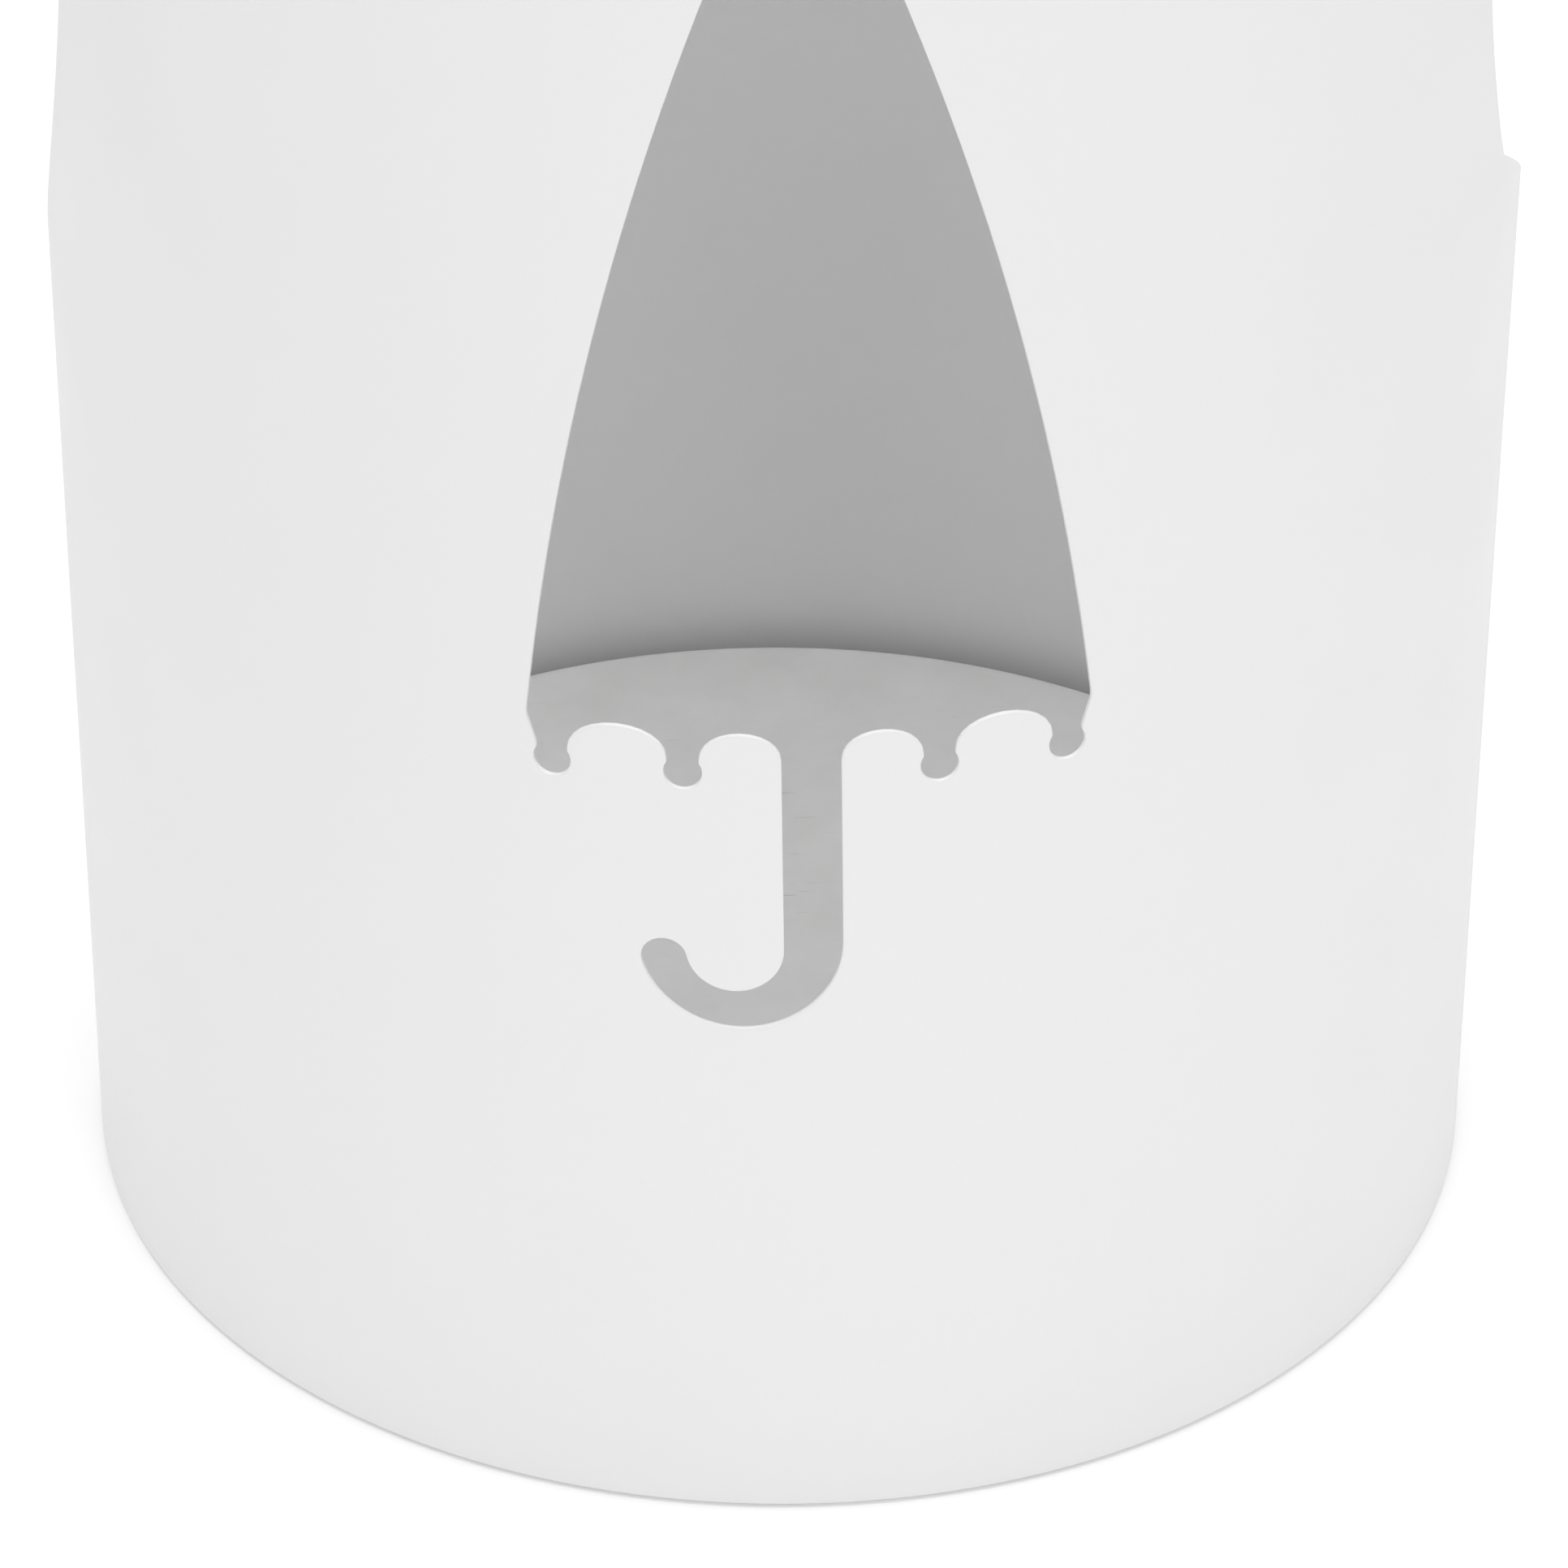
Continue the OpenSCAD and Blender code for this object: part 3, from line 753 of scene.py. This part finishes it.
def pressed(name, low, high, holes, dish, finish):
    """A round pan that fills a node's box, cut with round holes of (x, y, radius)."""
    outer, top = high.x, high.z
    level = outer - bend_radius
    flat_radius = level + bend_radius * math.pi / 2 + (top - bend_radius - low.z)
    filling = []
    for i in range(1, 12):
        filling += circle((0, 0), level * i / 12, 12 * i)
    bend_rows = [level - 0.8 * MM] + [level + bend_radius * math.pi / 2 * i / 8 for i in range(9)]
    for row in bend_rows:
        filling += circle((0, 0), row, 220)
    loops = [circle((0, 0), flat_radius, 220)]
    loops += [circle((x, y), radius, 48) for x, y, radius in holes]
    face = blank(name + "_blank", loops, filling, 0.7 * MM, 1.0 * MM)
    sheet = sheet_metal(name + "_sheet", face, pressed_sheet)
    return calm(grown(name, PRESS, sheet, Outer_radius=outer, Bend_radius=bend_radius, Top=top,
                      Dish=dish, Finish=finish))


print("recipe:", PRESS.name)

# %% [markdown]
# ## Floor pan
# The pan has a clearance hole for each foot's screw, and it stays flat, because the nuts clamp it
# to the feet.

# %% Floor pan
foot_spots = [(foot_ring * math.cos(math.radians(45 + 90 * i)),
               foot_ring * math.sin(math.radians(45 + 90 * i))) for i in range(foot_count)]
pan = pressed("floor_pan_pressing", pan_low, pan_high,
              [(x, y, screw_hole) for x, y in foot_spots], 0.0, COAT)
hand_over(pan, "stand", "powder_coat", "floor_pan")

# %% [markdown]
# ## Drip plate
# The plate lifts out by a finger hole near the front. Its bent edge keeps it stiff and holds it
# above the water. Nothing clamps its middle, so it is dished a little, as a thin pressing is.

# %% Drip plate
finger_radius, finger_forward = 12 * MM, 72 * MM
# The worn coat's darker tone is painted shade for the plate inside the tube; its dust and scuffs
# are wear.
plate = pressed("drip_plate_pressing", plate_low, plate_high,
                [(0, -finger_forward, finger_radius)], 0.25 * MM, COAT_WORN_AND_SHADED)
hand_over(plate, "drip_plate", "powder_coat", "drip_plate")

# %% [markdown]
# ## Edging, sealant and stitch welds
# A rubber strip is pushed over the plate's lower edge, so that it stands quietly on the pan. Its
# section is a U with rounded corners, and the strip's ends meet behind. The sealant fills the
# corner between the pan and the wall, and the stitch welds sit out of sight under the pan, eight
# short runs of torch ripples.

# %% Rubber edging
edging_wall = 1.2 * MM
edging_round = 0.5 * MM
half_u = (edging_high.x - edging_low.x) / 2 - (plate_high.x - pressed_sheet / 2)
u_top = edging_high.z - edging_low.z
slot_half = pressed_sheet / 2 + 0.02 * MM
u_section = (arc((half_u - edging_round, edging_round), edging_round, -90, 0, 5)
             + arc((half_u - 0.3 * MM, u_top - 0.3 * MM), 0.3 * MM, 0, 90, 4)
             + [(slot_half, u_top), (slot_half, edging_wall), (-slot_half, edging_wall),
                (-slot_half, u_top)]
             + arc((0.3 * MM - half_u, u_top - 0.3 * MM), 0.3 * MM, 90, 180, 4)
             + arc((edging_round - half_u, edging_round), edging_round, 180, 270, 5))
edging = swept("edging_strip", [ring(plate_high.x - pressed_sheet / 2, edging_low.z, 0.3 * MM,
                                     math.pi, 240)], u_section, RUBBER, Step=3 * MM)
hand_over(edging, "drip_plate", "grey_rubber", "plate_edging")

# %% Sealant
seal_low, seal_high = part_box("floor_seal")
bend_centre = (pan_high.x - bend_radius, pan_high.z - bend_radius)
seal_path = (wall_inside - 0.4 * MM, seal_low.z + 1.2 * MM)


def from_path(points, path):
    return [(x - path[0], y - path[1]) for x, y in points]


under = arc(bend_centre, bend_radius + 0.02 * MM, 74, 20, 8)
wall_edge, pan_edge = Vector((wall_inside - 0.02 * MM, seal_high.z)), Vector(under[0])
finger_hollow = 0.15 * MM
face = [wall_edge.lerp(pan_edge, i / 6) - Vector((0, finger_hollow * math.sin(math.pi * i / 6)))
        for i in range(6)]
seal_section = from_path([(wall_edge.x, seal_low.z)] + [tuple(p) for p in face] + under,
                         seal_path)
seal = swept("sealant_fillet", [ring(*seal_path)], seal_section, SEALANT, Step=2 * MM,
             Smudge=0.05)
hand_over(seal, "stand", "sealant", "floor_seal")

# %% Stitch welds
weld_runs = 8
weld_turn = math.radians(10)
throat = 1.2 * MM
weld_radius = wall_inside - 0.5 * throat
weld_height = pan_low.z


def weld_path(index):
    start = math.radians(90) + index * 2 * math.pi / weld_runs
    turns = [start + weld_turn * i / 12 for i in range(13)]
    return [(weld_radius * math.sin(t), -weld_radius * math.cos(t), weld_height)
            for t in turns], False


weld_section = [(0.58 * throat, -0.9 * throat), (0.58 * throat, 0.7 * throat),
                (0.30 * throat, 0.8 * throat), (0.24 * throat, 0.0), (-0.5 * throat, 0.0),
                (-0.42 * throat, -0.38 * throat), (0.0, -0.68 * throat)]
welds = swept("stitch_welds", [weld_path(i) for i in range(weld_runs)], weld_section, COAT,
              Step=0.25 * MM, Ripple=0.22, Ripple_pitch=1.5 * MM)
hand_over(welds, "stand", "powder_coat", "floor_welds")

# %% [markdown]
# ## The welded seam
# The two ends of the sheet butt together and are welded from top to bottom. Outside, the weld is
# ground flush before coating, and inside it stays as a low bead with ripples where the torch
# paused. The section is flat outside and crowned inside. Curve to Mesh would pulse both sides, so
# this one is built straight up in layers, and only the inner side pulses.

# %% Seam weld
def upright_sweep(name, foot, low, high, section, pitch, depth, finish):
    """A section carried straight up, pulsing towards the path as the torch pauses."""
    steps = round((high - low) / (pitch / 5))
    out = Vector((foot.x, foot.y, 0)).normalized()
    side = Vector((-out.y, out.x, 0))
    bm = bmesh.new()
    layers = []
    for i in range(steps + 1):
        z = low + (high - low) * i / steps
        swell = 1 - depth * (1 - abs(math.sin(math.pi * (z - low) / pitch)))
        layers.append([bm.verts.new(foot + out * (x if x > 0 else x * swell) + side * y
                                    + Vector((0, 0, z))) for x, y in section])
    for lower, upper in zip(layers, layers[1:]):
        for a in range(len(section)):
            b = (a + 1) % len(section)
            bm.faces.new((lower[a], lower[b], upper[b], upper[a]))
    bm.faces.new(layers[0][::-1])
    bm.faces.new(layers[-1])
    bmesh.ops.recalc_face_normals(bm, faces=bm.faces)
    mesh = mesh_from(bm, name)
    mesh.materials.append(finish)
    mesh.shade_smooth()
    return placed(name, mesh)


weld_low, weld_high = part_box("seam_weld")
seam_half = 0.57 * MM
bead_half, seam_crown = 1.3 * MM, 0.4 * MM
torch_pitch, torch_dip = 1.8 * MM, 0.16
inner_face, outer_face = -wall_sheet / 2, wall_sheet / 2
crown = [(inner_face - seam_crown * math.sin(math.pi * i / 8), bead_half * (1 - 2 * i / 8))
         for i in range(1, 8)]
seam_section = [(outer_face, -seam_half), (outer_face, seam_half), (inner_face, seam_half),
                (inner_face, bead_half), *crown, (inner_face, -bead_half),
                (inner_face, -seam_half)]
middle = wall_radius - wall_sheet / 2
seam_foot = Vector((middle * math.sin(seam_angle), -middle * math.cos(seam_angle), 0))
seam = upright_sweep("seam_weld_bead", seam_foot, weld_low.z, weld_high.z, seam_section,
                     torch_pitch, torch_dip, COAT)
hand_over(seam, "stand", "powder_coat", "seam_weld")

# %% [markdown]
# ## Turned parts and a recipe that places them
# Feet, washers, nuts and screws are all turned or headed parts, so each is drawn as half a
# section and spun round its axis. A hexagon or a cross recess is only a rule for the radius or
# the height at each angle. One part is made, and Geometry Nodes set it on all four foot centres,
# each turned by a random angle with a fixed seed, as a screwdriver leaves them.

# %% Turning a part
def turned(name, profile, steps, finish, shape=None):
    """A solid of revolution from points (radius, height), bottom axis point to top one.
    shape(radius, height, angle) may return another (radius, height) for a point."""
    bm = bmesh.new()
    rings = []
    for radius, height in profile:
        count = steps if radius > 1e-7 else 1
        ring_now = []
        for i in range(count):
            angle = 2 * math.pi * i / steps
            r, z = shape(radius, height, angle) if shape else (radius, height)
            ring_now.append(bm.verts.new((r * math.cos(angle), r * math.sin(angle), z)))
        rings.append(ring_now)
    pairs = list(zip(rings, rings[1:]))
    if len(rings[0]) > 1:
        pairs.append((rings[-1], rings[0]))
    for lower, upper in pairs:
        for i in range(steps):
            j = (i + 1) % steps
            corners = [lower[i % len(lower)], lower[j % len(lower)],
                       upper[j % len(upper)], upper[i % len(upper)]]
            bm.faces.new(list(dict.fromkeys(corners)))
    bmesh.ops.recalc_face_normals(bm, faces=bm.faces)
    mesh = mesh_from(bm, name)
    mesh.materials.append(finish)
    return mesh


def place_tree():
    tree, given, out = new_tree(
        "Set on the foot centres", "GeometryNodeTree",
        [("Geometry", "NodeSocketGeometry", None), ("Count", "NodeSocketInt", foot_count),
         ("Ring radius", FLOAT, foot_ring), ("First angle", FLOAT, math.pi / 4),
         ("Spread", FLOAT, 0.0), ("Seed", "NodeSocketInt", 7),
         ("Finish", "NodeSocketMaterial", None)], [("Geometry", "NodeSocketGeometry")])
    spots = put(tree, "GeometryNodeMeshCircle",
                {"Vertices": given["Count"], "Radius": given["Ring radius"]}).outputs[0]
    swing = put(tree, "ShaderNodeCombineXYZ", {"Z": given["First angle"]}).outputs[0]
    spots = put(tree, "GeometryNodeTransform", {"Geometry": spots, "Rotation": swing}).outputs[0]
    dice = put(tree, "FunctionNodeRandomValue", {"Seed": given["Seed"]}, data_type="FLOAT")
    spin = sums(tree, "MULTIPLY", dice.outputs[1], given["Spread"])
    turn = put(tree, "ShaderNodeCombineXYZ", {"Z": spin}).outputs[0]
    set_down = put(tree, "GeometryNodeInstanceOnPoints",
                   {"Points": spots, "Instance": given["Geometry"], "Rotation": turn}).outputs[0]
    real = put(tree, "GeometryNodeRealizeInstances", {"Geometry": set_down}).outputs[0]
    coated = put(tree, "GeometryNodeSetMaterial", {"Geometry": real, "Material": given["Finish"]})
    tree.links.new(coated.outputs[0], out["Geometry"])
    return tree


PLACE = place_tree()


def smooth_by_angle(mesh, degrees):
    mesh.shade_smooth()
    mesh.set_sharp_from_angle(angle=math.radians(degrees))
    return mesh


def at_feet(name, mesh, finish, spread, seed, degrees=35):
    return grown(name, PLACE, smooth_by_angle(mesh, degrees), Finish=finish, Spread=spread,
                 Seed=seed)


print("recipe:", PLACE.name)

# %% [markdown]
# ## Rubber feet
# Each foot is moulded round a recess for its screw head. The sole has a shallow groove that helps
# it grip, and every edge is rounded.

# %% Feet
foot_top = foot_high.z
recess_radius, recess_depth = 5.5 * MM, 3.4 * MM
sole = 10 * MM
foot_profile = (
    arc((recess_radius + 0.4 * MM, 0.4 * MM), 0.4 * MM, 180, 270, 4)
    + [(7.4 * MM, 0.0), (7.7 * MM, 0.6 * MM), (8.3 * MM, 0.6 * MM), (8.6 * MM, 0.0)]
    + arc((sole - 0.4 * MM, 0.5 * MM), 0.5 * MM, 270, 320, 4)
    + arc((foot_radius - 0.6 * MM, 1.5 * MM), 0.6 * MM, 330, 360, 3)
    + arc((foot_radius - 0.5 * MM, foot_top - 0.5 * MM), 0.5 * MM, 0, 90, 5)
    + arc((screw_hole + 0.2 * MM, foot_top - 0.2 * MM), 0.2 * MM, 90, 180, 3)
    + [(screw_hole, recess_depth), (recess_radius - 0.2 * MM, recess_depth),
       (recess_radius, recess_depth - 0.2 * MM)])
feet = at_feet("rubber_feet_moulded",
               turned("foot", foot_profile, 64, RUBBER), RUBBER, 0.0, 1)
hand_over(feet, "stand", "grey_rubber", "rubber_feet")

# %% [markdown]
# ## Screws
# A pan head screw goes up through each foot. The cross recess is pressed into the head, so the
# head is a fine dome whose height drops inside a cross. The thread is a helix: the radius at each
# point depends on the height and the angle together.

# %% Screws
head_radius, head_height = 4 * MM, 2 * MM
shank, thread_pitch, thread_depth = 2 * MM, 0.7 * MM, 0.38 * MM
thread_steepness = 2.6
thread_low = screw_low.z + head_height + 0.5 * MM
head_under = screw_low.z + head_height


def cross_recess(x, y):
    """Depth of the recess at a point of the head, with sloping flanks."""
    arm, half_width, depth = 2.1 * MM, 0.42 * MM, 1.15 * MM
    depths = []
    for along, across in ((abs(x), abs(y)), (abs(y), abs(x))):
        flank = min(max((half_width + 0.25 * MM - across) / (0.25 * MM), 0.0), 1.0)
        end = min(max((arm - along) / (0.9 * MM), 0.0), 1.0)
        depths.append(depth * flank * min(1.0, 1.25 * end))
    return max(depths)


def screw_shape(radius, height, angle):
    if height < head_under - 0.3 * MM and radius < head_radius - 0.7 * MM:
        drop = cross_recess(radius * math.cos(angle), radius * math.sin(angle))
        return radius, height + drop
    if height > head_under + 0.4 * MM and radius > 1.0 * MM:
        turn = (height / thread_pitch - angle / (2 * math.pi)) % 1.0
        groove = thread_depth * max(0.0, 1 - thread_steepness * abs(turn - 0.5))
        taper = min(1.0, (screw_high.z - height) / (0.8 * MM))
        return (radius - groove) * (0.82 + 0.18 * taper), height
    return radius, height


dome_share, dome_rise, dome_rings = 0.82, 0.21 * MM, 22
dome = [(head_radius * dome_share * i / dome_rings,
         screw_low.z + dome_rise * (dome_share * i / dome_rings) ** 2)
        for i in range(dome_rings + 1)]
shoulder = arc((head_radius - 0.75 * MM, screw_low.z + 0.95 * MM), 0.75 * MM, 300, 360, 5)
thread_rows = round((screw_high.z - thread_low) / (thread_pitch / 8))
thread = [(shank, thread_low + (screw_high.z - thread_low) * i / thread_rows)
          for i in range(thread_rows + 1)]
screw_profile = (dome + shoulder + [(head_radius, head_under - 0.15 * MM),
                                    (head_radius - 0.15 * MM, head_under), (shank, head_under)]
                 + thread + [(0.0, screw_high.z)])
screws = at_feet("foot_screws_threaded", turned("screw", screw_profile, 48, ZINC, screw_shape),
                 ZINC, 2 * math.pi, 11)
hand_over(screws, "stand", "zinc_steel", "foot_screws")

# %% [markdown]
# ## Washers and nuts
# Washers are stamped, so one face has rounded edges and the other stays crisp. A nut is a hexagon
# whose corners are cut back by a cone on both faces.

# %% Washers
washer_radius, washer_sheet = 4.5 * MM, 0.8 * MM


def washer_mesh(name, low):
    soft, crisp = 0.22 * MM, 0.06 * MM
    profile = (arc((washer_radius - crisp, low + crisp), crisp, 270, 360, 2)
               + arc((washer_radius - soft, low + washer_sheet - soft), soft, 0, 90, 4)
               + arc((screw_hole + soft, low + washer_sheet - soft), soft, 90, 180, 4)
               + arc((screw_hole + crisp, low + crisp), crisp, 180, 270, 2))
    return turned(name, profile, 56, ZINC)


sole_washers = at_feet("sole_washers_stamped", washer_mesh("sole_washer", sole_washer_low.z),
                       ZINC, 2 * math.pi, 3)
hand_over(sole_washers, "stand", "zinc_steel", "foot_washers")
pan_washers = at_feet("pan_washers_stamped", washer_mesh("pan_washer", pan_washer_low.z),
                      ZINC, 2 * math.pi, 5)
hand_over(pan_washers, "stand", "zinc_steel", "pan_washers")

# %% Nuts
nut_flat = 3.5 * MM
nut_corner = nut_flat / math.cos(math.radians(30))
nut_face = 0.96 * nut_flat
nut_bore, nut_bevel = 2.03 * MM, 0.3 * MM


def nut_shape(radius, height, angle):
    """Widest rings follow the hexagon, and the cone brings the corners' edges back."""
    if radius < nut_flat:
        return radius, height
    hexagon = nut_flat / math.cos((angle + math.pi / 6) % (math.pi / 3) - math.pi / 6)
    cut = (hexagon - nut_face) * math.tan(math.radians(30))
    middle_height = (nut_low.z + nut_high.z) / 2
    half = (nut_high.z - nut_low.z) / 2 - cut
    return hexagon, middle_height + (half if height > middle_height else -half)


nut_profile = [(nut_bore + nut_bevel, nut_low.z), (nut_face, nut_low.z),
               (nut_corner, nut_low.z), (nut_corner, nut_high.z), (nut_face, nut_high.z),
               (nut_bore + nut_bevel, nut_high.z), (nut_bore, nut_high.z - nut_bevel),
               (nut_bore, nut_low.z + nut_bevel)]
nuts = at_feet("foot_nuts_hexagonal", turned("nut", nut_profile, 72, ZINC, nut_shape), ZINC,
               2 * math.pi, 17, 25)
hand_over(nuts, "stand", "zinc_steel", "foot_nuts")

# %% [markdown]
# ## The studio
# The floor is a plain pale board, wide enough to fill the view, and it glows faintly, as a
# lit-through table does. The light is a white tent: a white world from all sides and one big soft
# box above, whose light falls down the tube and brings up the inside. Three weak boxes in front
# keep the middle of the wall a little brighter than its sides.

# %% Floor board
def floor_board():
    mat, tree, shader = material("Pale floor", specular=0.1)
    shader["Emission Color"].default_value = (1, 1, 1, 1)
    shader["Emission Strength"].default_value = 0.18
    tone = tint(tree, (0.93, 0.93, 0.93), use(tree, TONE, Scale=2.0, Amount=0.02))
    connect(tree, shader, Base_Color=tone,
            Roughness=ramp(tree, noise(tree, 6.0), 0.3, 0.7, 0.85, 0.95))
    bm = bmesh.new()
    bmesh.ops.create_grid(bm, x_segments=24, y_segments=24, size=4.0)
    mesh = mesh_from(bm, "floor_board")
    mesh.materials.append(mat)
    board = placed("floor_board", mesh)
    return board


floor_board()
print("floor board laid")

# %% Lights
def soft_box(name, place, target, size, power):
    light = bpy.data.lights.new(name, "AREA")
    light.shape, light.size, light.energy = "SQUARE", size, power
    lamp = placed(name, light)
    lamp.location = place
    lamp.rotation_euler = (Vector(target) - Vector(place)).to_track_quat("-Z", "Y").to_euler()


world = bpy.data.worlds.new("White tent")
world.use_nodes = True
bpy.context.scene.world = world
world.node_tree.nodes["Background"].inputs["Color"].default_value = (1, 1, 1, 1)
world.node_tree.nodes["Background"].inputs["Strength"].default_value = 0.475
middle_of_stand = (0, 0, 0.25)
soft_box("overhead_box", (0.0, 0.1, 1.9), middle_of_stand, 1.6, 22.0)
soft_box("left_box", (-0.8, -1.5, 1.5), middle_of_stand, 1.0, 3.4)
soft_box("right_box", (1.6, -0.5, 1.1), middle_of_stand, 1.0, 0.9)
soft_box("low_front_box", (0.3, -0.9, 0.8), middle_of_stand, 0.4, 1.1)
bpy.context.scene.view_settings.view_transform = "Standard"

# %% [markdown]
# ## The camera
# A long lens looks down at the stand from a metre away, so the tube's sides stay almost parallel
# and the cut-out shows the floor inside. The direction is built from three turns: the pan, the
# dip below the horizon, and a slight roll.

# %% Camera
eye_distance, eye_height, eye_turn = 1.0265, 0.7422, math.radians(-2.3)
pan_turn, dip, roll = math.radians(-2.3376), math.radians(33.497), math.radians(0.248)
lens_data = bpy.data.cameras.new("Long lens")
lens_data.sensor_width, lens_data.lens = 36.0, 163.35
lens_data.clip_start, lens_data.clip_end = 0.01, 20.0
camera = placed("Camera", lens_data)
camera.matrix_world = (
    Matrix.Translation((eye_distance * math.sin(eye_turn), -eye_distance * math.cos(eye_turn),
                        eye_height))
    @ Matrix.Rotation(pan_turn, 4, "Z") @ Matrix.Rotation(math.pi / 2 - dip, 4, "X")
    @ Matrix.Rotation(roll, 4, "Z"))
bpy.context.scene.camera = camera
print("camera at", [round(x, 4) for x in camera.location])
